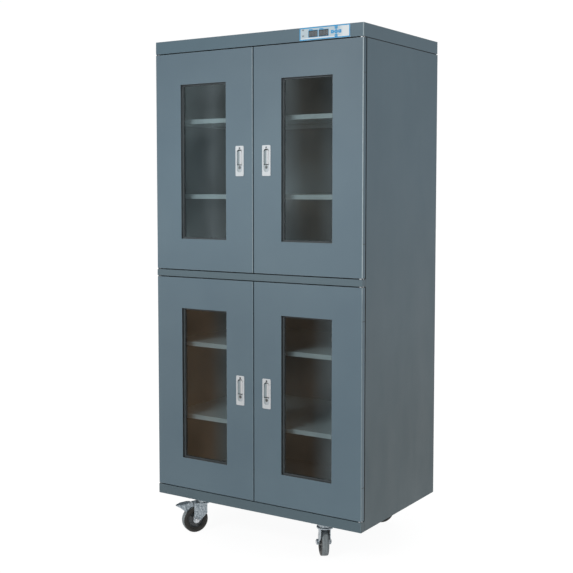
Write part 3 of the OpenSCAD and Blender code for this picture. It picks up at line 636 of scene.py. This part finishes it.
bm = bmesh.new()
for cx, w in ((253.0, 37.0), (295.0, 39.0)):
    zc = 1867 - 0.5
    ring_plate(bm, rrect(cx * MM, zc * MM, (w + 1.4) * MM, 24.6 * MM, 0.8 * MM), rrect(cx * MM, zc * MM, (w - 0.9) * MM, 22.2 * MM, 0.3 * MM), PY - 0.06 * MM, PY + 0.05 * MM)
    prism(bm, rrect((cx - 9) * MM, (zc + 14.2) * MM, 15 * MM, 3.0 * MM, 0.6 * MM), PY - 0.08 * MM, PY + 0.05 * MM)
add("panel_window_prints", bm, BORDER, "cabinet")


def seven_segments(bm, cx, cz, w, h, t, y0, y1, lean=0.10):
    """The seven unlit bars of one digit."""
    def bar(x0, z0, x1, z1):
        d = Vector((x1 - x0, 0, z1 - z0))
        l = d.length
        d.normalize()
        s = Vector((-d.z, 0, d.x)) * (t / 2)
        e = d * (t / 2)
        g = d * (t * 0.18)
        a = Vector((x0, 0, z0)) + g
        b = Vector((x1, 0, z1)) - g
        pts = [a, a + e + s, b - e + s, b, b - e - s, a + e - s]
        prism(bm, [(cx + p.x + p.z * lean, cz + p.z) for p in pts], y0, y1)
    X, Z = w / 2, h / 2
    for x0, z0, x1, z1 in ((-X, Z, X, Z), (-X, 0, X, 0), (-X, -Z, X, -Z), (-X, 0, -X, Z), (X, 0, X, Z), (-X, -Z, -X, 0), (X, -Z, X, 0)):
        bar(x0, z0, x1, z1)


bm = bmesh.new()
for cx in (241.6, 253.0, 264.4, 283.0, 295.0, 307.0):
    seven_segments(bm, cx * MM, 1866.5 * MM, 6.6 * MM, 14.0 * MM, 1.9 * MM, -300.46 * MM, -300.2 * MM)
add("display_segments", bm, SEGMENT, "cabinet")

# smoked faces of the two display blocks
bm = bmesh.new()
for x0, x1 in ((235.6, 270.4), (276.6, 313.4)):
    cx, w = (x0 + x1) / 2, x1 - x0
    prism(bm, rrect(cx * MM, 1866.5 * MM, w * MM, 21.8 * MM, 0.4 * MM), -300.42 * MM, -300.1 * MM)
add("display_faces", bm, DISPLAY, "cabinet")

KEYS = {"key_up": (0, 1), "key_down": (0, -1), "key_left": (-1, 0), "key_right": (1, 0), "key_set": (0, 0)}
# printed pads round the keys, joined by short bars
bm = bmesh.new()
for key, (dx, dz) in KEYS.items():
    lo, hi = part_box(key)
    c = (lo + hi) / 2
    outer = rrect(c.x, c.z, 11.6 * MM, 11.4 * MM, 1.6 * MM)
    inner = []
    for px_, pz_ in outer:
        a_ = math.atan2(pz_ - c.z, px_ - c.x)
        inner.append((c.x + 4.5 * MM * math.cos(a_), c.z + 4.5 * MM * math.sin(a_)))
    ring_plate(bm, outer, inner, PY - 0.07 * MM, PY + 0.05 * MM)
    if dx:
        xm = c.x - dx * 7.5 * MM
        prism(bm, [(xm - 2.0 * MM, c.z - 1.5 * MM), (xm + 2.0 * MM, c.z - 1.5 * MM), (xm + 2.0 * MM, c.z + 1.5 * MM), (xm - 2.0 * MM, c.z + 1.5 * MM)], PY - 0.065 * MM, PY + 0.05 * MM)
    if dz:
        zm_ = c.z - dz * 7.5 * MM
        prism(bm, [(c.x - 1.5 * MM, zm_ - 2.0 * MM), (c.x + 1.5 * MM, zm_ - 2.0 * MM), (c.x + 1.5 * MM, zm_ + 2.0 * MM), (c.x - 1.5 * MM, zm_ + 2.0 * MM)], PY - 0.065 * MM, PY + 0.05 * MM)
add("panel_key_pads", bm, BORDER, "cabinet")

for key, (dx, dz) in KEYS.items():
    lo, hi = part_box(key)
    c = (lo + hi) / 2
    y = lo.y
    r = (hi.x - lo.x) / 2
    bm = bmesh.new()
    if key == "key_set":
        prism(bm, rrect(c.x, c.z, 2.4 * MM, 2.4 * MM, 0.3 * MM), y - 0.06 * MM, y + 0.05 * MM)
    else:
        tri = [(0.0, 1.6), (-1.7, -1.1), (1.7, -1.1)]
        ang = {"key_up": 0, "key_down": 180, "key_left": 90, "key_right": -90}[key]
        ca, sa = math.cos(math.radians(ang)), math.sin(math.radians(ang))
        prism(bm, [(c.x + (x * ca - z * sa) * MM, c.z + (x * sa + z * ca) * MM) for x, z in tri], y - 0.06 * MM, y + 0.05 * MM)
    add(key + "_mark", bm, WHITEP, key)

# ---------------------------------------------------------------- lock details
LOCK_X = {"l": -58.5, "r": 58.5}
LOCK_Z = {"u": 1023.5 + 408.25, "l": 175 + 408.25}
for d in ("ul", "ur", "ll", "lr"):
    x, z = LOCK_X[d[1]], LOCK_Z[d[0]]
    bm = bmesh.new()
    solid_lathe(bm, [(0.9 * MM, 0.55 * MM), (2.5 * MM, 0.45 * MM), (3.7 * MM, 0.05 * MM), (3.8 * MM, -1.0 * MM)], 28, (x * MM, -302 * MM, (z + 46.6) * MM), (0, -1, 0))
    add(f"lock_{d}_screw", bm, DARKSCREW, f"door_{d}", bevel=0)
    bm = bmesh.new()
    lathe(bm, [(6.1 * MM, -9.2 * MM), (8.6 * MM, -9.2 * MM), (8.6 * MM, -2.4 * MM), (7.9 * MM, -1.2 * MM), (6.6 * MM, -1.2 * MM), (6.1 * MM, -1.9 * MM)], 40,
          (x * MM, -302 * MM, (z - 24) * MM), (0, -1, 0))
    add(f"lock_{d}_collar", bm, CORE, f"door_{d}")
    bm = bmesh.new()
    for s in (-1, 1):
        loop = [(0.0, -15.6), (s * 11.2, -15.6), (s * 11.2, -32.5)]
        loop += [(s * (2.7 + 8.5 * math.cos(math.radians(a))), -32.5 - 8.3 * math.sin(math.radians(a))) for a in range(15, 91, 15)]
        loop += [(0.0, -40.8)] + [(s * 6.4 * math.cos(math.radians(a)), -24 + 6.4 * math.sin(math.radians(a))) for a in range(-90, 91, 15)]
        prism(bm, [((x + u) * MM, (z + w) * MM) for u, w in loop], -301.2 * MM, -300.4 * MM)
    add(f"lock_{d}_apron", bm, APRON, f"door_{d}", bevel=0)

# ---------------------------------------------------------------- castor wheels
CASTORS = {"fl": (-277, -252, 238), "fr": (277, -252, 129), "bl": (-277, 252, 100), "br": (277, 252, 230)}
half = [(30.6, 7.4), (31.0, 11.0), (31.8, 12.0), (33.4, 12.3), (34.0, 11.6), (34.8, 11.6), (35.4, 12.6), (38.0, 13.4), (41.5, 13.9),
        (45.0, 13.9), (46.6, 13.7), (47.6, 13.4), (48.4, 12.9), (49.2, 11.8), (49.7, 10.6), (49.9, 9.4), (50.0, 8.8), (49.3, 8.3), (49.3, 7.3), (50.0, 6.8), (50.0, 2.4),
        (49.3, 1.9), (49.3, 1.0), (50.0, 0.6)]
tyre = [(r * MM, h * MM) for r, h in half] + [(r * MM, -h * MM) for r, h in half[::-1]]
NT = len(half)
hub_half = [(6.1, 14.8), (9.8, 14.8), (10.6, 14.2), (10.9, 11.4), (12.6, 10.6), (13.8, 9.4), (14.4, 6.9), (16.5, 6.2), (26.5, 6.2), (28.6, 7.0), (29.2, 10.0), (30.0, 10.4), (31.0, 10.1), (31.0, 7.4)]
hub = [(r * MM, h * MM) for r, h in hub_half] + [(r * MM, -h * MM) for r, h in hub_half[::-1]]
NH = len(hub_half)


def tread(i, t):
    j = i if i < NT else 2 * NT - 1 - i
    side = 1 if i < NT else -1
    if 13 <= j <= 16:
        notch = math.cos(t * 36 + side * 0.6 * (j - 13)) > 0.35
        return (-0.9 * MM if notch else 0.0, -side * 0.25 * MM if notch else 0.0)
    return (0, 0)


def ribs(i, t):
    j = i if i < NH else 2 * NH - 1 - i
    side = 1 if i < NH else -1
    if j in (7, 8):
        k = max(0.0, math.cos(t * 5)) ** 6
        return (0, side * 3.4 * MM * k)
    return (0, 0)


for c, (x, y, a) in CASTORS.items():
    a = math.radians(a)
    dirx = Vector((math.cos(a), math.sin(a), 0))
    axle = Vector((x * MM, y * MM, 50 * MM)) + dirx * (29 * MM)
    axis = Vector((-math.sin(a), math.cos(a), 0))
    bm = bmesh.new()
    lathe(bm, tyre, 216, axle, axis, wobble=tread, mat_of=lambda i: 2 if 13 <= i < 2 * NT - 14 else 0)
    lathe(bm, hub, 120, axle, axis, wobble=ribs, mat_of=lambda i: 1)
    w = add(f"castor_{c}_tyre_and_hub", bm, [RUBBER, HUB, TREAD], f"wheel_{c}")
    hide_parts(f"castor_{c}_wheel")

    # kingpin nut and washer under the crown
    base = Vector((x * MM, y * MM, 0))
    bm = bmesh.new()
    solid_lathe(bm, [(10.5 * MM, 0.1122), (10.5 * MM, 0.1108)], 32, base, (0, 0, 1), smooth=False)
    solid_lathe(bm, [(8.2 * MM, 0.1109), (8.2 * MM, 0.1062), (7.2 * MM, 0.1056)], 6, base, (0, 0, 1), smooth=False)
    solid_lathe(bm, [(4.4 * MM, 0.1060), (4.4 * MM, 0.1042), (3.6 * MM, 0.1036)], 24, base, (0, 0, 1), smooth=False)
    add(f"castor_{c}_kingpin_nut", bm, SCREW, f"castor_{c}")

    # axle ends and washers outside the legs
    bm = bmesh.new()
    for s in (1, -1):
        solid_lathe(bm, [(11.8 * MM, 18.2 * MM), (11.8 * MM, 19.8 * MM), (11.2 * MM, 20.1 * MM)], 36, axle, axis * s, smooth=False)
        solid_lathe(bm, [(8.9 * MM, 25.6 * MM), (8.9 * MM, 26.4 * MM), (8.2 * MM, 27.4 * MM), (6.2 * MM, 28.8 * MM), (3.2 * MM, 29.6 * MM)], 28, axle, axis * s)
    add(f"castor_{c}_axle_ends", bm, SCREW, f"castor_{c}")

    # four bolts hold the castor plate
    bm = bmesh.new()
    for sx in (-1, 1):
        for sy in (-1, 1):
            p = Vector(((x + sx * 38) * MM, (y + sy * 27) * MM, 0))
            solid_lathe(bm, [(6.6 * MM, 0.1322), (6.6 * MM, 0.1311)], 24, p, (0, 0, 1), smooth=False)
            solid_lathe(bm, [(5.0 * MM, 0.1312), (5.0 * MM, 0.1282), (4.4 * MM, 0.1276)], 6, p, (0, 0, 1), smooth=False, start=0.3 * sx + 0.2 * sy)
    add(f"castor_{c}_plate_bolts", bm, SCREW, "cabinet")

# ---------------------------------------------------------------- rear screws
bm = bmesh.new()
def pan_screw(bm, x, y, z, r=3.6, s=1):
    """A pan-head screw with a cross recess, on a face that looks along +Y."""
    c = Vector((x * MM, y * MM, z * MM))
    solid_lathe(bm, [(r * MM, -0.4 * MM), (r * MM, 0.7 * MM), (r * 0.86 * MM, 1.3 * MM), (r * 0.55 * MM, 1.7 * MM), (r * 0.30 * MM, 1.75 * MM)], 28, c, (0, s, 0))
    for k in (0, 1):
        a = 0.4 + k * math.pi / 2
        d = Vector((math.cos(a), 0, math.sin(a)))
        e = Vector((-math.sin(a), 0, math.cos(a)))
        q = [c + Vector((0, s * 1.82 * MM, 0)) + d * (i * r * 0.42 * MM) + e * (j * 0.45 * MM) for i, j in ((-1, -1), (1, -1), (1, 1), (-1, 1))]
        vs = [bm.verts.new(p) for p in q]
        w = [bm.verts.new(p - Vector((0, s * 0.3 * MM, 0))) for p in q]
        fs = [bm.faces.new(vs), bm.faces.new(w[::-1])]
        for i in range(4):
            fs.append(bm.faces.new((vs[i], w[i], w[(i + 1) % 4], vs[(i + 1) % 4])))
        for f in fs:
            f.material_index = 1


for sx in (-1, 1):
    for k in range(6):
        pan_screw(bm, sx * 434, 300, 190 + k * 322)
for k in range(-3, 4):
    if k:
        pan_screw(bm, k * 125, 300, 150)
        pan_screw(bm, k * 125, 300, 1828)
add("back_panel_screws", bm, [SCREW, DARKSCREW], "cabinet")

# ---------------------------------------------------------------- floor, world, lights, camera
def floor():
    bm = bmesh.new()
    bmesh.ops.create_circle(bm, cap_ends=True, segments=96, radius=30.0)
    me = bpy.data.meshes.new("floor")
    bm.to_mesh(me)
    bm.free()
    o = bpy.data.objects.new("floor", me)
    o.location.z = -0.0002
    scene.collection.objects.link(o)
    m = bpy.data.materials.new("floor_white")
    m.use_nodes = True
    nt = m.node_tree
    nt.nodes.clear()
    out = nt.nodes.new("ShaderNodeOutputMaterial")
    dif = nt.nodes.new("ShaderNodeBsdfDiffuse")
    dif.inputs["Color"].default_value = (0.92, 0.92, 0.92, 1)
    emi = nt.nodes.new("ShaderNodeEmission")
    emi.inputs["Color"].default_value = (1, 1, 1, 1)
    emi.inputs["Strength"].default_value = 1.02
    mix = nt.nodes.new("ShaderNodeMixShader")
    geo = nt.nodes.new("ShaderNodeTexCoord")
    ln = nt.nodes.new("ShaderNodeVectorMath"); ln.operation = "LENGTH"
    mr = nt.nodes.new("ShaderNodeMapRange"); mr.interpolation_type = "SMOOTHSTEP"
    mr.inputs["From Min"].default_value = 0.25
    mr.inputs["From Max"].default_value = 0.95
    mr.inputs["To Min"].default_value = 0.90
    nt.links.new(geo.outputs["Object"], ln.inputs[0])
    nt.links.new(ln.outputs["Value"], mr.inputs["Value"])
    nt.links.new(mr.outputs["Result"], mix.inputs["Fac"])
    lpn = nt.nodes.new("ShaderNodeLightPath")
    seen = nt.nodes.new("ShaderNodeMapRange")
    seen.inputs["To Min"].default_value = 1.05
    seen.inputs["To Max"].default_value = 0.40
    nt.links.new(lpn.outputs["Is Diffuse Ray"], seen.inputs["Value"])
    nt.links.new(seen.outputs["Result"], emi.inputs["Strength"])
    nt.links.new(dif.outputs["BSDF"], mix.inputs[1])
    nt.links.new(emi.outputs["Emission"], mix.inputs[2])
    nt.links.new(mix.outputs["Shader"], out.inputs["Surface"])
    me.materials.append(m)
    return o


floor()


def card(name, x0, x1, z0, z1, y, stops, cloud, low, high):
    """A studio card that only mirror reflections see: soft tones along its width, with clouds across it."""
    me = bpy.data.meshes.new(name)
    me.from_pydata([(x0, y, z0), (x1, y, z0), (x1, y, z1), (x0, y, z1)], [], [(0, 1, 2, 3)])
    o = bpy.data.objects.new(name, me)
    scene.collection.objects.link(o)
    m = bpy.data.materials.new(name + "_tone")
    m.use_nodes = True
    nt = m.node_tree
    nt.nodes.clear()
    out = nt.nodes.new("ShaderNodeOutputMaterial")
    emi = nt.nodes.new("ShaderNodeEmission")
    tc = nt.nodes.new("ShaderNodeTexCoord")
    sep = nt.nodes.new("ShaderNodeSeparateXYZ")
    mr = nt.nodes.new("ShaderNodeMapRange")
    mr.inputs["From Min"].default_value = x0
    mr.inputs["From Max"].default_value = x1
    ramp = nt.nodes.new("ShaderNodeValToRGB")
    el = ramp.color_ramp.elements
    while len(el) < len(stops):
        el.new(0.5)
    for e, (pos, col) in zip(el, stops):
        e.position = (pos - x0) / (x1 - x0)
        e.color = (*col, 1.0)
    no = nt.nodes.new("ShaderNodeTexNoise")
    no.inputs["Scale"].default_value = cloud
    no.inputs["Detail"].default_value = 3.0
    st = nt.nodes.new("ShaderNodeMapRange")
    st.inputs["From Min"].default_value = 0.35
    st.inputs["From Max"].default_value = 0.65
    st.inputs["To Min"].default_value = low
    st.inputs["To Max"].default_value = high
    L = nt.links.new
    L(tc.outputs["Object"], sep.inputs["Vector"])
    L(sep.outputs["X"], mr.inputs["Value"])
    L(mr.outputs["Result"], ramp.inputs["Fac"])
    L(tc.outputs["Object"], no.inputs["Vector"])
    L(no.outputs["Fac"], st.inputs["Value"])
    L(st.outputs["Result"], emi.inputs["Strength"])
    L(ramp.outputs["Color"], emi.inputs["Color"])
    L(emi.outputs["Emission"], out.inputs["Surface"])
    me.materials.append(m)
    o.visible_camera = False
    o.visible_diffuse = False
    o.visible_transmission = False
    o.visible_shadow = False
    return o


TEAL, BROWN = (0.80, 0.97, 1.0), (0.86, 0.56, 0.34)
card("card_upper", -0.95, 0.12, 0.98, 2.0, -0.9,
     [(-0.82, TEAL), (-0.70, (0.86, 1.0, 1.04)), (-0.64, (1.35, 1.55, 1.62)), (-0.56, (0.95, 1.08, 1.1)), (-0.27, (1.5, 1.7, 1.75)),
      (-0.17, (0.78, 0.74, 0.66)), (-0.10, (0.72, 0.68, 0.60)), (0.0, (1.1, 1.25, 1.3))], 3.0, 0.55, 1.15)
card("card_lower", -0.95, 0.12, 0.0, 0.98, -0.9,
     [(-0.84, BROWN), (-0.66, (0.90, 0.62, 0.42)), (-0.57, (1.0, 1.08, 1.06)), (-0.45, (0.8, 0.7, 0.6)), (-0.30, (1.0, 0.76, 0.55)), (-0.13, (0.90, 0.64, 0.45)),
      (-0.04, (1.5, 1.66, 1.7))], 3.5, 0.30, 0.72)

world =bpy.data.worlds.new("studio")
scene.world = world
world.use_nodes = True
nt = world.node_tree
nt.nodes.clear()
wo = nt.nodes.new("ShaderNodeOutputWorld")
bg_light = nt.nodes.new("ShaderNodeBackground")
bg_light.inputs["Color"].default_value = (0.93, 0.97, 1.0, 1)
bg_light.inputs["Strength"].default_value = 0.31
bg_seen = nt.nodes.new("ShaderNodeBackground")
bg_seen.inputs["Color"].default_value = (1, 1, 1, 1)
bg_seen.inputs["Strength"].default_value = 1.02
lp = nt.nodes.new("ShaderNodeLightPath")
mx = nt.nodes.new("ShaderNodeMixShader")
nt.links.new(lp.outputs["Is Camera Ray"], mx.inputs["Fac"])
nt.links.new(bg_light.outputs["Background"], mx.inputs[1])
nt.links.new(bg_seen.outputs["Background"], mx.inputs[2])
nt.links.new(mx.outputs["Shader"], wo.inputs["Surface"])


def area(name, loc, target, size, power, colour=(1, 1, 1), size_y=None):
    l = bpy.data.lights.new(name, "AREA")
    l.energy = power
    l.color = colour
    l.shape = "RECTANGLE"
    l.size = size
    l.size_y = size_y or size
    o = bpy.data.objects.new(name, l)
    o.location = loc
    o.rotation_euler = (Vector(target) - Vector(loc)).to_track_quat("-Z", "Y").to_euler()
    scene.collection.objects.link(o)
    return o


area("key", (-0.4, -4.0, 3.0), (0, 0, 1.22), 1.8, 86, (1.0, 0.99, 0.98), 1.2)
area("fill_right", (4.4, 0.4, 2.5), (0.4, 0, 1.3), 0.8, 30, (1.0, 1.0, 1.0), 1.8)
area("top", (0.0, -0.6, 4.4), (0, 0, 0.9), 2.4, 14, (1.0, 1.0, 1.0), 2.4)
area("rear", (-1.5, 4.0, 2.6), (0, 0, 1.0), 2.4, 50, (1.0, 1.0, 1.0), 2.4)

# camera: fitted to the body's edges in the photograph
F_PX, CX, CY = 1048.038, 260.0, 260.0
YAW, PITCH, ROLL = map(math.radians, (33.732, 3.951, -0.089))
POS = Vector((2.140390, -3.461203, 1.334659))
fwd = Vector((-math.sin(YAW) * math.cos(PITCH), math.cos(YAW) * math.cos(PITCH), -math.sin(PITCH)))
right = Vector((math.cos(YAW), math.sin(YAW), 0))
up = right.cross(fwd)
r2 = right * math.cos(ROLL) + up * math.sin(ROLL)
u2 = -right * math.sin(ROLL) + up * math.cos(ROLL)
cam = bpy.data.cameras.new("camera")
cam.sensor_width = 36.0
cam.lens = F_PX * 36.0 / 573.0
cam.shift_x = (286.5 - CX) / 573.0
cam.shift_y = (CY - 286.5) / 573.0
cam.clip_start, cam.clip_end = 0.05, 100.0
cam.dof.use_dof = False
camo = bpy.data.objects.new("camera", cam)
m4 = Matrix((
    (r2.x, u2.x, -fwd.x, POS.x),
    (r2.y, u2.y, -fwd.y, POS.y),
    (r2.z, u2.z, -fwd.z, POS.z),
    (0, 0, 0, 1)))
camo.matrix_world = m4
scene.collection.objects.link(camo)
scene.camera = camo
scene.view_settings.view_transform = "Standard"
